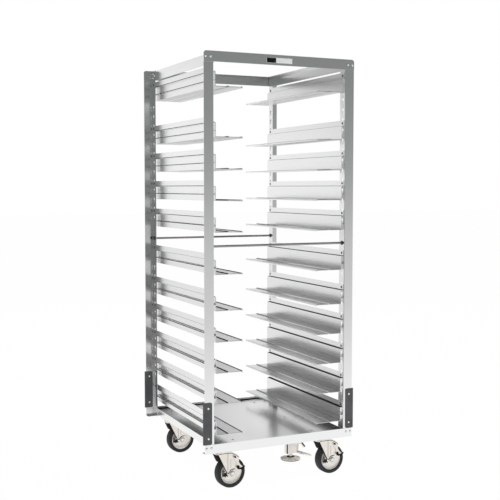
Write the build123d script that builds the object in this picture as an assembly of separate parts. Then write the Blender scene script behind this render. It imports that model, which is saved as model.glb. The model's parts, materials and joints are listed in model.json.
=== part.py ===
"""Roll-in freezer rack: eleven pairs of tray slides in an open stainless frame on four swivel casters.

Frame: X to the right along the front, front = -Y, Z up, origin on the floor under the frame's centre.
All sizes are millimetres. The casters stand in a turned rest position with their wheels trailing to +X.
"""
import math
import os

from build123d import *

# Driving dimensions of the frame
FRAME_WIDTH = 686.0
FRAME_DEPTH = 733.0
FRAME_HEIGHT = 1614.0
RAIL_BOTTOM = 172.0
SHEET = 2.0
THIN_SHEET = 1.6

# Uprights: a folded angle, its flange running back from the inner edge of its face with two rows of keyhole slots
POST_FACE = 42.0
POST_FLANGE = 42.0
SLOT_PITCH = 127.0 / 3.0
SLOT_ROW_STARTS = (371.0, 1111.33)
SLOTS_IN_ROW = 13
SLOT_RADIUS = 6.5
SLOT_TAIL = 14.67
SLOT_TAIL_WIDTH = 6.0
SLOT_FROM_FACE = 19.0

# Rails
TOP_RAIL_HEIGHT = 42.0
BASE_RAIL_HEIGHT = 38.0
RAIL_LIP = 30.0
CORNER_RADIUS = 11.0
SIDE_RAIL_HEIGHT = 44.0
SIDE_RAIL_TOP_GAP = 3.0
SIDE_RAIL_LIP = 12.0
BASE_SIDE_HEIGHT = 30.0

# Deck and its cross channels
DECK_SHEET = 1.5
DECK_TOP = 199.0
CHANNEL_WIDTH = 92.0
CHANNEL_SHEET = 3.0
CHANNEL_HALF_LENGTH = 286.0

# Tray slides, from the lowest to the highest: the height of each ledge above the floor
LOWEST_LEDGE = 244.0
SLIDE_STEPS = (127.0, 127.0, 127.0, 127.0, 147.0, 170.0, 127.0, 127.0, 127.0, 200.0)
SLIDE_SHEET = 1.5
SLIDE_SETBACK = 8.0
SLIDE_JOGGLE = 10.0
SLIDE_LEG = 57.0
SLIDE_FLANGE = 25.0
SLIDE_LEDGE = 118.25
SLIDE_RIB_Z = 24.0
BEAD_FROM_LEG = 56.5
BEAD_HALF_WIDTH = 4.0
BEAD_HEIGHT = 3.0
LEDGE_LIP = 4.0
STUD_Z = 70.0

# Tie rods across the frame at mid height
ROD_RADIUS = 4.75
ROD_Z = 1012.0
ROD_FROM_FACE = 21.0

# Corner bumpers
BUMPER_HEIGHT = 172.0
BUMPER_WIDTH = 31.5
BUMPER_PROUD = 7.0
BUMPER_THICKNESS = 2.5
BUMPER_CORNER = 7.0
BUMPER_ROUND = 3.2
BUMPER_RIVET_FROM_END = 24.0
BUMPER_RIVET_FROM_EDGE = 15.5

# Casters
CASTER_FROM_SIDE = 105.0
CASTER_FROM_FACE = 76.0
CASTER_TURN = 3.5
WHEEL_RADIUS = 64.3
WHEEL_WIDTH = 36.0
DISC_RADIUS = 48.0
CASTER_LEAD = 38.0
MOUNT_Z = 169.0
PLATE_SIZE = (92.0, 72.0, 3.5)
CUP_DEPTH = 5.0
CROWN_TOP = 155.5
PLATE_BOLTS = (74.0, 54.0)
BOLT_RADIUS = 4.0
BOLT_HOLE_RADIUS = 4.3
KINGPIN_RADIUS = 6.0
RUNNING_CLEARANCE = 0.06
SWIVEL_GAP = 0.4
FORK_SHEET = 3.0
FORK_INSIDE = 42.0
AXLE_RADIUS = 5.0
NOSE_BULGE = 12.0
EDGE_FLANGE = 5.5
BRAKE_PIVOT = (49.0, 132.0)

# Floor lock under the right-hand side
LOCK_X = 217.0
LOCK_Y = -36.5
LOCK_PAD_RADIUS = 46.0
LOCK_PAD_HEIGHT = 4.0
LOCK_STEM_RADIUS = 9.0
LOCK_BODY_WIDTH = 50.0
LOCK_BODY_DEPTH = 26.0
LOCK_BODY_BOTTOM = 29.0
LOCK_PEDAL_PIVOT = (39.0, 78.0)

# Ends of a fork leg's straight leading edge and of its cover, along the trail and up
NOSE_LINE = ((-26.0, 148.5), (15.0, 66.0))
NOSE_SPAN = 37.0
COVER_END = (71.0, 129.0)

HALF_WIDTH = FRAME_WIDTH / 2
HALF_DEPTH = FRAME_DEPTH / 2
FRAME_TOP = RAIL_BOTTOM + FRAME_HEIGHT
FLANGE_INNER = HALF_WIDTH - POST_FACE
POST_FRONT = -HALF_DEPTH + THIN_SHEET
SIDES = {"left": -1, "right": 1}
ENDS = {"front": -1, "rear": 1}


def block(x, y, z):
    """A box between two values on each axis."""
    size = [high - low for low, high in (x, y, z)]
    centre = [(high + low) / 2 for low, high in (x, y, z)]
    return Pos(*centre) * Box(*size)


def placed(shape, side, end):
    """A shape modelled at the front left, mirrored to another corner of the frame."""
    if side > 0:
        shape = mirror(shape, about=Plane.YZ)
    if end > 0:
        shape = mirror(shape, about=Plane.XZ)
    return shape


def folded(points, thickness):
    """The closed face of a folded sheet whose middle line runs through the points."""
    return make_face(Polyline(*beside(points, thickness / 2), *reversed(beside(points, -thickness / 2)), close=True))


def beside(points, distance):
    """The points of a line beside a middle line, with mitred bends."""
    path = [Vector(*point) for point in points]
    normals = [(end - start).normalized().rotate(Axis.Z, 90) for start, end in zip(path, path[1:])]
    shifted = [path[0] + normals[0] * distance]
    for point, before, after in zip(path[1:-1], normals, normals[1:]):
        middle = (before + after).normalized()
        shifted.append(point + middle * (distance / middle.dot(before)))
    shifted.append(path[-1] + normals[-1] * distance)
    return [(point.X, point.Y) for point in shifted]


def along_y(face, start, end):
    """A face drawn in X and Z, extruded along Y from start to end."""
    return Pos(0, end, 0) * extrude(Plane.XZ * face, end - start)


def group(shapes):
    """Separate solids that share one node."""
    return Compound([solid for shape in shapes for solid in shape.solids()])


def post():
    """Front left upright: a folded angle with a row of slots in its side flange."""
    bottom = RAIL_BOTTOM + THIN_SHEET
    top = FRAME_TOP - THIN_SHEET
    face = block((-HALF_WIDTH, -FLANGE_INNER), (POST_FRONT, POST_FRONT + SHEET), (bottom, top))
    corner = face.edges().filter_by(Axis.Y).sort_by(lambda edge: edge.center().X - edge.center().Z)[0]
    face = fillet(corner, CORNER_RADIUS)
    flange = block((-FLANGE_INNER - SHEET, -FLANGE_INNER), (POST_FRONT, POST_FRONT + POST_FLANGE), (bottom, top))
    upright = face + flange
    bend = [edge for edge in upright.edges().filter_by(Axis.Z)
            if abs(edge.center().X + FLANGE_INNER) < 0.01 and abs(edge.center().Y - POST_FRONT) < 0.01]
    upright = fillet(bend, SHEET)
    outside = (-FLANGE_INNER - 2 * SHEET, POST_FRONT + SLOT_FROM_FACE)
    slots = [extrude(Plane(origin=(*outside, z), x_dir=(0, 1, 0), z_dir=(1, 0, 0)) * keyhole(), 3 * SHEET)
             for z in slot_heights()]
    rod_hole = Pos(-FLANGE_INNER, -HALF_DEPTH + ROD_FROM_FACE, ROD_Z) * Rot(0, 90, 0) * Cylinder(ROD_RADIUS, 6 * SHEET)
    return upright - slots - rod_hole


def slot_heights():
    """Height of every slot in an upright: a lower and an upper row."""
    return [start + SLOT_PITCH * number for start in SLOT_ROW_STARTS for number in range(SLOTS_IN_ROW)]


def keyhole():
    """Outline of a slot, drawn with Y up: an eight-sided opening that takes a stud's head, over a narrow tail."""
    tail = Rectangle(SLOT_TAIL_WIDTH, SLOT_TAIL + SLOT_TAIL_WIDTH / 2, align=(Align.CENTER, Align.MAX))
    return RegularPolygon(SLOT_RADIUS, 8, rotation=22.5) + tail


def top_rail():
    """Front top rail: a flat face over the uprights with a stiffening lip turned inwards at its top."""
    face = block((-HALF_WIDTH, HALF_WIDTH), (-HALF_DEPTH, POST_FRONT), (FRAME_TOP - TOP_RAIL_HEIGHT, FRAME_TOP))
    corners = face.edges().filter_by(Axis.Y).group_by(Axis.Z)[-1]
    face = fillet(corners, CORNER_RADIUS)
    lip = block((-FLANGE_INNER, FLANGE_INNER), (-HALF_DEPTH, -HALF_DEPTH + RAIL_LIP),
                (FRAME_TOP - THIN_SHEET, FRAME_TOP))
    return face + lip


def base_rail():
    """Front base rail: a full-width face whose lip turns inwards under the uprights."""
    face = block((-HALF_WIDTH, HALF_WIDTH), (-HALF_DEPTH, POST_FRONT), (RAIL_BOTTOM, RAIL_BOTTOM + BASE_RAIL_HEIGHT))
    lip = block((-HALF_WIDTH, HALF_WIDTH), (-HALF_DEPTH, -HALF_DEPTH + RAIL_LIP), (RAIL_BOTTOM, RAIL_BOTTOM + THIN_SHEET))
    rail = face + lip
    bend = rail.edges().filter_by(Axis.X).sort_by(lambda edge: edge.center().Y + edge.center().Z)[0]
    return fillet(bend, THIN_SHEET * 0.9)


def top_side_rail():
    """Left top side rail: an angle inside the slotted flanges."""
    top = FRAME_TOP - SIDE_RAIL_TOP_GAP
    face = block((-FLANGE_INNER, -FLANGE_INNER + THIN_SHEET), (-HALF_DEPTH + RAIL_LIP, HALF_DEPTH - RAIL_LIP),
                 (top - SIDE_RAIL_HEIGHT, top))
    foot = block((-FLANGE_INNER, -FLANGE_INNER + THIN_SHEET), (POST_FRONT + SHEET, -POST_FRONT - SHEET),
                 (top - SIDE_RAIL_HEIGHT, top))
    lip = block((-FLANGE_INNER, -FLANGE_INNER + RAIL_LIP), (-HALF_DEPTH + RAIL_LIP, HALF_DEPTH - RAIL_LIP),
                (top - THIN_SHEET, top))
    return face + foot + lip


def base_side_rail():
    """Left base side rail: an angle whose lip carries the turned-down edge of the deck."""
    top = RAIL_BOTTOM + BASE_RAIL_HEIGHT
    bottom = top - BASE_SIDE_HEIGHT
    ends = (POST_FRONT + SHEET, -POST_FRONT - SHEET)
    face = block((-FLANGE_INNER, -FLANGE_INNER + THIN_SHEET), ends, (bottom, top))
    lip = block((-FLANGE_INNER, -FLANGE_INNER + SIDE_RAIL_LIP), ends, (bottom, bottom + THIN_SHEET))
    return face + lip


def deck():
    """Solid deck: an inverted pan between the rails."""
    half_x = FLANGE_INNER - THIN_SHEET - 0.4
    half_y = -POST_FRONT
    bottom = RAIL_BOTTOM + BASE_RAIL_HEIGHT - BASE_SIDE_HEIGHT + THIN_SHEET
    outer = block((-half_x, half_x), (-half_y, half_y), (bottom, DECK_TOP))
    inner = block((-half_x + DECK_SHEET, half_x - DECK_SHEET), (-half_y + DECK_SHEET, half_y - DECK_SHEET),
                  (bottom - 1, DECK_TOP - DECK_SHEET))
    return outer - inner


def channel_places():
    """Middle line of each cross channel: over the front casters, over the floor lock and over the rear casters."""
    caster_y = HALF_DEPTH - CASTER_FROM_FACE
    return (-caster_y, LOCK_Y, caster_y)


def cross_channel(y):
    """One U channel under the deck, drilled for what bolts to it."""
    low = MOUNT_Z
    high = DECK_TOP - DECK_SHEET
    half = CHANNEL_WIDTH / 2
    outer = block((-CHANNEL_HALF_LENGTH, CHANNEL_HALF_LENGTH), (y - half, y + half), (low, high))
    inner = block((-CHANNEL_HALF_LENGTH - 1, CHANNEL_HALF_LENGTH + 1),
                  (y - half + CHANNEL_SHEET, y + half - CHANNEL_SHEET), (low + CHANNEL_SHEET, high + 1))
    centres = [x for x, place_y in plate_places() if abs(place_y - y) < 1]
    holes = [Pos(x + dx, y + dy, low) * Cylinder(BOLT_HOLE_RADIUS, 4 * CHANNEL_SHEET)
             for x in centres for dx, dy in bolt_offsets()]
    return outer - inner - holes


def plate_places():
    """Centres of the four caster plates and of the floor lock's plate."""
    x = HALF_WIDTH - CASTER_FROM_SIDE
    y = HALF_DEPTH - CASTER_FROM_FACE
    return [(-x, -y), (x, -y), (-x, y), (x, y), (LOCK_X, LOCK_Y)]


def bolt_offsets():
    """Bolt hole centres about the middle of a mounting plate."""
    return [(sx * PLATE_BOLTS[0] / 2, sy * PLATE_BOLTS[1] / 2) for sx in (-1, 1) for sy in (-1, 1)]


def mounting_plate():
    """Plate with four bolt holes, its top face at the mounting height."""
    width, depth, thickness = PLATE_SIZE
    plate = Pos(0, 0, MOUNT_Z - thickness / 2) * Box(width, depth, thickness)
    plate = fillet(plate.edges().filter_by(Axis.Z), 6.0)
    return plate - [Pos(x, y, MOUNT_Z) * Cylinder(BOLT_HOLE_RADIUS, 4 * thickness) for x, y in bolt_offsets()]


def plate_bolt():
    """Bolt through the channel's web and a mounting plate, head below and nut above."""
    head_top = MOUNT_Z - PLATE_SIZE[2]
    head = extrude(Pos(0, 0, head_top - 5.0) * RegularPolygon(6.5, 6), 5.0)
    shank = extrude(Pos(0, 0, head_top) * RegularPolygon(BOLT_RADIUS, 8), MOUNT_Z + 12.0 - head_top)
    nut = extrude(Pos(0, 0, MOUNT_Z + CHANNEL_SHEET) * RegularPolygon(6.5, 6), 6.0)
    return head + shank + nut


def slide_section():
    """Middle line of a left slide, from its post flange down the leg and along the beaded ledge to its lip."""
    half = SLIDE_SHEET / 2
    leg_x = SLIDE_JOGGLE + half
    tip_x = leg_x + SLIDE_LEDGE - half
    bead_x = leg_x + BEAD_FROM_LEG
    return [
        (half, SLIDE_LEG + SLIDE_FLANGE), (half, SLIDE_LEG), (leg_x, SLIDE_LEG), (leg_x, -half),
        (bead_x - BEAD_HALF_WIDTH, -half), (bead_x - 1.0, BEAD_HEIGHT - half), (bead_x + 1.0, BEAD_HEIGHT - half),
        (bead_x + BEAD_HALF_WIDTH, -half), (tip_x, -half), (tip_x, -LEDGE_LIP - half),
    ]


def slide():
    """Left tray slide with its ledge's top at height zero and its flange's outer face at X zero."""
    ends = (-HALF_DEPTH + SLIDE_SETBACK, HALF_DEPTH - SLIDE_SETBACK)
    sheet = along_y(folded(slide_section(), SLIDE_SHEET), *ends)
    rib = block((0, SLIDE_JOGGLE + SLIDE_SHEET / 2), ends,
                (SLIDE_RIB_Z - SLIDE_SHEET / 2, SLIDE_RIB_Z + SLIDE_SHEET / 2))
    return sheet + rib


def ledge_heights():
    """Height of every ledge above the floor, lowest first."""
    heights = [LOWEST_LEDGE]
    for step in SLIDE_STEPS:
        heights.append(heights[-1] + step)
    return heights


def screw_head(radius, thickness):
    """Hexagonal head standing out along +X from the origin."""
    return Rot(0, 90, 0) * extrude(RegularPolygon(radius, 6), thickness)


def rivet_head(radius, thickness):
    """Low rivet head standing out along +X from the origin."""
    return Rot(0, 90, 0) * extrude(RegularPolygon(radius, 10), thickness)


def slide_screws():
    """Studs that hang each slide in the uprights' slots, with a head inside the slide and one outside the upright."""
    y = POST_FRONT + SLOT_FROM_FACE
    inside = Pos(-FLANGE_INNER + SLIDE_SHEET, y, 0) * screw_head(4.0, 2.6)
    outside = Pos(-FLANGE_INNER - SHEET, y, 0) * Rot(0, 0, 180) * rivet_head(5.0, 1.8)
    return [placed(Pos(0, 0, z + STUD_Z) * head, side, end) for z in ledge_heights() for head in (inside, outside)
            for side in SIDES.values() for end in ENDS.values()]


def frame_rivets():
    """Rivet heads that join the rails to the uprights, and the deck to its channels."""
    head = rivet_head(3.2, 1.6)
    outward = Rot(0, 0, -90) * head
    heads = []
    for z in (FRAME_TOP - 24.0, RAIL_BOTTOM + 24.0):
        heads += [Pos(-HALF_WIDTH + inset, -HALF_DEPTH, z) * outward for inset in (8.0, 29.0)]
    top = FRAME_TOP - SIDE_RAIL_TOP_GAP - SIDE_RAIL_HEIGHT / 2
    base = RAIL_BOTTOM + BASE_RAIL_HEIGHT - BASE_SIDE_HEIGHT / 2
    places = ((top + 9.0, 14.0), (top - 9.0, 14.0), (top, 32.0), (base + 4.0, 12.0), (base + 4.0, 34.0))
    heads += [Pos(-FLANGE_INNER - SHEET, POST_FRONT + back, z) * Rot(0, 0, 180) * head for z, back in places]
    corners = [placed(rivet, side, end) for rivet in heads for side in SIDES.values() for end in ENDS.values()]
    upward = Rot(0, -90, 0) * head
    deck_heads = [Pos(x, y, DECK_TOP) * upward for y in channel_places() for x in (-242.0, -187.0, 187.0, 242.0)]
    return corners + deck_heads


def tie_rods():
    """Front and rear tie rods through the uprights' flanges."""
    length = 2 * (FLANGE_INNER + SHEET + 9.0)
    rod = Rot(0, 90, 0) * Cylinder(ROD_RADIUS, length)
    return [Pos(0, end * (HALF_DEPTH - ROD_FROM_FACE), ROD_Z) * rod for end in ENDS.values()]


def rod_nuts():
    """A nut outside and inside each flange that a tie rod passes."""
    ring = RegularPolygon(9.0, 6) - Circle(ROD_RADIUS + 0.05)
    outer = Pos(-FLANGE_INNER - SHEET - 7.0, -HALF_DEPTH + ROD_FROM_FACE, ROD_Z) * Rot(0, 90, 0) * extrude(ring, 7.0)
    inner = Pos(-FLANGE_INNER, -HALF_DEPTH + ROD_FROM_FACE, ROD_Z) * Rot(0, 90, 0) * extrude(ring, 5.0)
    return [placed(nut, side, end) for nut in (outer, inner) for side in SIDES.values() for end in ENDS.values()]


def bumper():
    """Front left corner bumper: a moulded channel hooked round the upright's free edge, as wide behind as in front."""
    outer_x = -HALF_WIDTH - BUMPER_PROUD
    front_y = POST_FRONT - BUMPER_THICKNESS
    back_y = POST_FRONT + SHEET + BUMPER_THICKNESS
    bottom = RAIL_BOTTOM + BASE_RAIL_HEIGHT + 1.0
    heights = (bottom, bottom + BUMPER_HEIGHT)
    strip = block((outer_x, outer_x + BUMPER_WIDTH + BUMPER_PROUD), (front_y, back_y), heights)
    strip = fillet(strip.edges().filter_by(Axis.Y).group_by(Axis.X)[-1], BUMPER_CORNER)
    strip = fillet(strip.edges().filter_by(Axis.Z).group_by(Axis.X)[0], BUMPER_ROUND)
    groove = block((-HALF_WIDTH, HALF_WIDTH), (POST_FRONT, POST_FRONT + SHEET), heights)
    return strip - groove


def bumper_rivets():
    """Two rivets through each corner bumper, with a head on either side."""
    front = Pos(0, POST_FRONT - BUMPER_THICKNESS, 0) * Rot(0, 0, -90) * rivet_head(4.2, 2.0)
    back = Pos(0, POST_FRONT + SHEET + BUMPER_THICKNESS, 0) * Rot(0, 0, 90) * rivet_head(4.2, 2.0)
    bottom = RAIL_BOTTOM + BASE_RAIL_HEIGHT + 1.0
    heights = (bottom + BUMPER_RIVET_FROM_END, bottom + BUMPER_HEIGHT - BUMPER_RIVET_FROM_END)
    heads = [Pos(-HALF_WIDTH + BUMPER_RIVET_FROM_EDGE, 0, z) * head for z in heights for head in (front, back)]
    return [placed(head, side, end) for head in heads for side in SIDES.values() for end in ENDS.values()]


def caster_plate():
    """Caster's fixed half: mounting plate, race cup and kingpin with its riveted end."""
    under = MOUNT_Z - PLATE_SIZE[2]
    low = CROWN_TOP - FORK_SHEET - SWIVEL_GAP
    cup = Pos(0, 0, under - CUP_DEPTH / 2) * Cylinder(25.0, CUP_DEPTH)
    pin = Pos(0, 0, (under + low - 4.0) / 2) * Cylinder(KINGPIN_RADIUS, under - low + 4.0)
    end = Pos(0, 0, low - 2.0) * Cylinder(10.0, 4.0)
    return mounting_plate() + cup + pin + end


def fork_leg_outline():
    """Side view of a fork leg, drawn with X along the trail and Y up: a tapered leg under a curved cover."""
    axle_x = CASTER_LEAD
    lug = 12.0
    leading = Polyline((20.0, CROWN_TOP), (NOSE_LINE[0][0], CROWN_TOP), *NOSE_LINE)
    foot = Polyline(NOSE_LINE[-1], (axle_x - lug, WHEEL_RADIUS), (axle_x + lug, WHEEL_RADIUS), (52.0, 82.0),
                    (60.0, 93.0), (69.0, 108.0), COVER_END)
    cover = ThreePointArc(COVER_END, (51.0, 145.5), (20.0, CROWN_TOP))
    return make_face([leading, foot, cover]) + Pos(axle_x, WHEEL_RADIUS) * Circle(lug)


def fork(braked):
    """Pressed swivel fork: race ring, rounded nose, cover over the wheel and two legs with flanged leading edges."""
    ring_top = MOUNT_Z - PLATE_SIZE[2] - CUP_DEPTH - SWIVEL_GAP
    half = FORK_INSIDE / 2
    outline = Plane.XZ * fork_leg_outline()
    body = Pos(0, half + FORK_SHEET, 0) * extrude(outline, 2 * (half + FORK_SHEET))
    hollow = Pos(0, half, 0) * extrude(Plane.XZ * wheel_tunnel(), 2 * half)
    clear = half + FORK_SHEET - EDGE_FLANGE
    open_front = Pos(0, clear, 0) * extrude(Plane.XZ * edge_opening(), 2 * clear)
    ring = Pos(0, 0, (CROWN_TOP + ring_top) / 2) * Cylinder(24.0, ring_top - CROWN_TOP)
    bore = Pos(0, 0, CROWN_TOP) * Cylinder(KINGPIN_RADIUS + RUNNING_CLEARANCE, 20.0)
    axle_hole = Pos(CASTER_LEAD, 0, WHEEL_RADIUS) * Rot(90, 0, 0) * Cylinder(AXLE_RADIUS + 0.1, 4 * half)
    shell = body - hollow - open_front + fork_nose() + ring - bore - axle_hole
    if braked:
        pivot_x, pivot_z = BRAKE_PIVOT
        shell -= Pos(pivot_x, 0, pivot_z) * Rot(90, 0, 0) * Cylinder(3.0 + RUNNING_CLEARANCE, 4 * half)
    return shell


def fork_nose():
    """Rounded nose of the fork: a curved wall that leans back over the tyre, under the rounded end of the crown."""
    half = FORK_INSIDE / 2 + FORK_SHEET
    (top_x, top_z), (low_x, low_z) = NOSE_LINE
    front = Pos(top_x, 0) * (Ellipse(NOSE_BULGE, half) & Pos(-half, 0) * Rectangle(2 * half, 2 * half))
    room = Pos(top_x, 0) * Ellipse(NOSE_BULGE - FORK_SHEET, half - FORK_SHEET)
    crown = Pos(0, 0, CROWN_TOP - FORK_SHEET) * extrude(front, FORK_SHEET)
    neck = Pos(0, 0, top_z) * extrude(front - room, CROWN_TOP - top_z)
    wall = Pos(0, 0, top_z) * extrude(front - room, NOSE_SPAN, dir=(low_x - top_x, 0, low_z - top_z))
    return crown + neck + wall


def edge_opening():
    """Side view of the open part between the flanges of the two leading edges, from the crown down."""
    return Pos(-40.0, 0.0) * Rectangle(120.0, CROWN_TOP - FORK_SHEET, align=(Align.MIN, Align.MIN))


def wheel_tunnel():
    """Side view of the room inside the fork: everything behind its cover and the flanges of its leading edge."""
    (top_x, top_z), (low_x, low_z) = NOSE_LINE
    wall = 3.4
    roof = CROWN_TOP - FORK_SHEET
    arc = ThreePointArc((20.0, roof), (49.6, 142.8), (COVER_END[0] - 1.0, COVER_END[1] - 2.6))
    rest = Polyline(arc @ 1, (COVER_END[0] + 20.0, 100.0), (COVER_END[0] + 20.0, 0.0), (low_x + 5.0, 0.0),
                    (low_x + wall, low_z), (top_x + wall, top_z), (top_x + wall, roof), (20.0, roof))
    return make_face([arc, rest])


def axle():
    """Axle bolt with its head, nut and end."""
    reach = FORK_INSIDE / 2 + FORK_SHEET
    shank = Pos(0, 3.5, 0) * Rot(90, 0, 0) * Cylinder(AXLE_RADIUS, 2 * reach + 9.0)
    head = Pos(0, -reach, 0) * Rot(90, 0, 0) * extrude(RegularPolygon(9.0, 6), 5.5)
    nut = Pos(0, reach + 6.0, 0) * Rot(90, 0, 0) * extrude(RegularPolygon(9.0, 6), 6.0)
    return Pos(CASTER_LEAD, 0, WHEEL_RADIUS) * (shank + head + nut)


def wheel_centre():
    """Pressed wheel disc: a domed hub in a shallow dish that meets the tyre, turned about its axle."""
    bore = AXLE_RADIUS + RUNNING_CLEARANCE
    hub_half = FORK_INSIDE / 2 - 0.8
    rim_half = WHEEL_WIDTH / 2 - 2.2
    side = [(bore, hub_half), (9.0, hub_half), (14.0, hub_half - 2.0), (20.0, 12.5), (25.0, 11.4), (40.0, 13.4),
            (DISC_RADIUS, rim_half)]
    profile = Polyline(*side, *[(radius, -height) for radius, height in reversed(side)], close=True)
    disc = revolve(Plane.XZ * make_face(profile), Axis.Z)
    return Pos(CASTER_LEAD, 0, WHEEL_RADIUS) * Rot(90, 0, 0) * disc


def tyre():
    """Tyre with a flat-crowned tread and rounded shoulders."""
    half = WHEEL_WIDTH / 2
    shoulder = 4.0
    side = [(DISC_RADIUS, half - 2.2), (DISC_RADIUS + 2.5, half), (WHEEL_RADIUS - shoulder, half),
            (WHEEL_RADIUS - 1.1, half - shoulder * 0.5), (WHEEL_RADIUS, half - shoulder * 1.3)]
    profile = Polyline(*side, *[(radius, -height) for radius, height in reversed(side)], close=True)
    ring = revolve(Plane.XZ * make_face(profile), Axis.Z)
    return Pos(CASTER_LEAD, 0, WHEEL_RADIUS) * Rot(90, 0, 0) * ring


def brake_lever():
    """Side brake: a cross pin with a cam over the tyre, and a flat arm outside the near leg with a foot on it."""
    pivot_x, pivot_z = BRAKE_PIVOT
    near = -(FORK_INSIDE / 2 + FORK_SHEET + 0.6)
    arm = make_face(Polyline((43.0, 130.0), (55.0, 134.0), (67.0, 108.0), (75.0, 96.0), (84.0, 88.0), (90.0, 86.0),
                             (89.0, 81.0), (74.0, 79.0), (59.0, 84.0), (57.0, 104.0), close=True))
    arm += Pos(pivot_x, pivot_z) * Circle(6.3)
    plate = Pos(0, near, 0) * extrude(Plane.XZ * arm, 3.0)
    pin_reach = FORK_INSIDE / 2 + FORK_SHEET + 3.0
    pin = Pos(pivot_x, 0, pivot_z) * Rot(90, 0, 0) * Cylinder(3.0, 2 * pin_reach)
    cam = Pos(pivot_x, 0, pivot_z) * Rot(90, 0, 0) * Cylinder(3.6, 28.0)
    return plate + pin + cam


def caster_at(place, shape):
    """A caster piece turned to its rest position and moved to its place."""
    x, y = place
    return Pos(x, y, 0) * Rot(0, 0, CASTER_TURN) * shape


def lock_housing():
    """Floor lock's fixed half: mounting plate, tall housing, stem guide and pedal ears."""
    under = MOUNT_Z - PLATE_SIZE[2]
    half_x = LOCK_BODY_WIDTH / 2
    half_y = LOCK_BODY_DEPTH / 2
    wall = 2.5
    shell = block((-half_x, half_x), (-half_y, half_y), (LOCK_BODY_BOTTOM, under))
    cavity = block((-half_x + wall, half_x - wall), (-half_y + wall, half_y - wall),
                   (LOCK_BODY_BOTTOM + 14.0, under - wall))
    guide = Pos(0, 0, LOCK_BODY_BOTTOM) * Cylinder(LOCK_STEM_RADIUS + RUNNING_CLEARANCE, 60.0)
    pivot_x, pivot_z = LOCK_PEDAL_PIVOT
    ears = [block((half_x - wall, pivot_x + 8.0), (y - wall / 2, y + wall / 2), (pivot_z - 9.0, pivot_z + 20.0))
            for y in (-half_y + wall / 2, half_y - wall / 2)]
    hole = Pos(pivot_x, 0, pivot_z) * Rot(90, 0, 0) * Cylinder(4.0 + RUNNING_CLEARANCE, 90.0)
    return mounting_plate() + shell + ears - cavity - guide - hole


def lock_stem():
    """Stem of the floor lock with the thin steel dish that carries the sole."""
    low = LOCK_PAD_HEIGHT
    profile = Polyline((0.0, low), (LOCK_PAD_RADIUS, low), (LOCK_PAD_RADIUS, low + 2.0), (30.0, low + 4.0),
                       (15.0, low + 9.0), (LOCK_STEM_RADIUS, low + 9.0), (LOCK_STEM_RADIUS, 122.0), (0.0, 122.0),
                       close=True)
    return revolve(Plane.XZ * make_face(profile), Axis.Z)


def lock_pad():
    """Thin rubber sole that grips the floor."""
    sole = Pos(0, 0, LOCK_PAD_HEIGHT / 2) * Cylinder(LOCK_PAD_RADIUS - 1.0, LOCK_PAD_HEIGHT)
    return chamfer(sole.edges().filter_by(GeomType.CIRCLE).sort_by(Axis.Z)[0], 1.0)


def lock_pedal():
    """Foot pedal of the floor lock, shown pressed down: a hollow leaf on an arm, and a short release toe above it."""
    pivot_x, pivot_z = LOCK_PEDAL_PIVOT
    leaf_plane = Plane(origin=(pivot_x - 9.0, 0, 35.0), x_dir=(0.94, 0, -0.33), z_dir=(0.33, 0, 0.94))
    leaf = extrude(leaf_plane * leaf_outline(0.0), -6.0)
    leaf -= Pos(-0.7, 0, -2.4) * extrude(leaf_plane * leaf_outline(2.4), -9.0)
    arm_line = [(pivot_x, pivot_z + 3.0), (pivot_x - 3.0, pivot_z - 22.0), (pivot_x - 6.0, 34.0)]
    arm = Pos(0, 9.0, 0) * extrude(Plane.XZ * folded(arm_line, 5.0), 18.0)
    toe_line = [(pivot_x, pivot_z), (pivot_x + 15.0, pivot_z - 10.0), (pivot_x + 30.0, pivot_z - 29.0)]
    toe = Pos(0, 7.0, 0) * extrude(Plane.XZ * folded(toe_line, 5.0), 14.0)
    pin = Pos(pivot_x, 0, pivot_z) * Rot(90, 0, 0) * Cylinder(4.0, LOCK_BODY_DEPTH + 4.0)
    return leaf + arm + toe + pin


def leaf_outline(inset):
    """Leaf shape of the pedal seen from above, narrow at its arm and rounded at its tip."""
    root, belly, tip = 16.0 - inset, 30.0 - inset, 80.0 - inset
    upper = Spline((inset, root), (28.0, belly), (62.0, 20.0 - inset), (tip, 0.0), tangents=[(1, 0.5), (0, -1)])
    lower = mirror(upper, about=Plane.XZ)
    return make_face([upper, lower, Line((inset, -root), (inset, root))])


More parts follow.
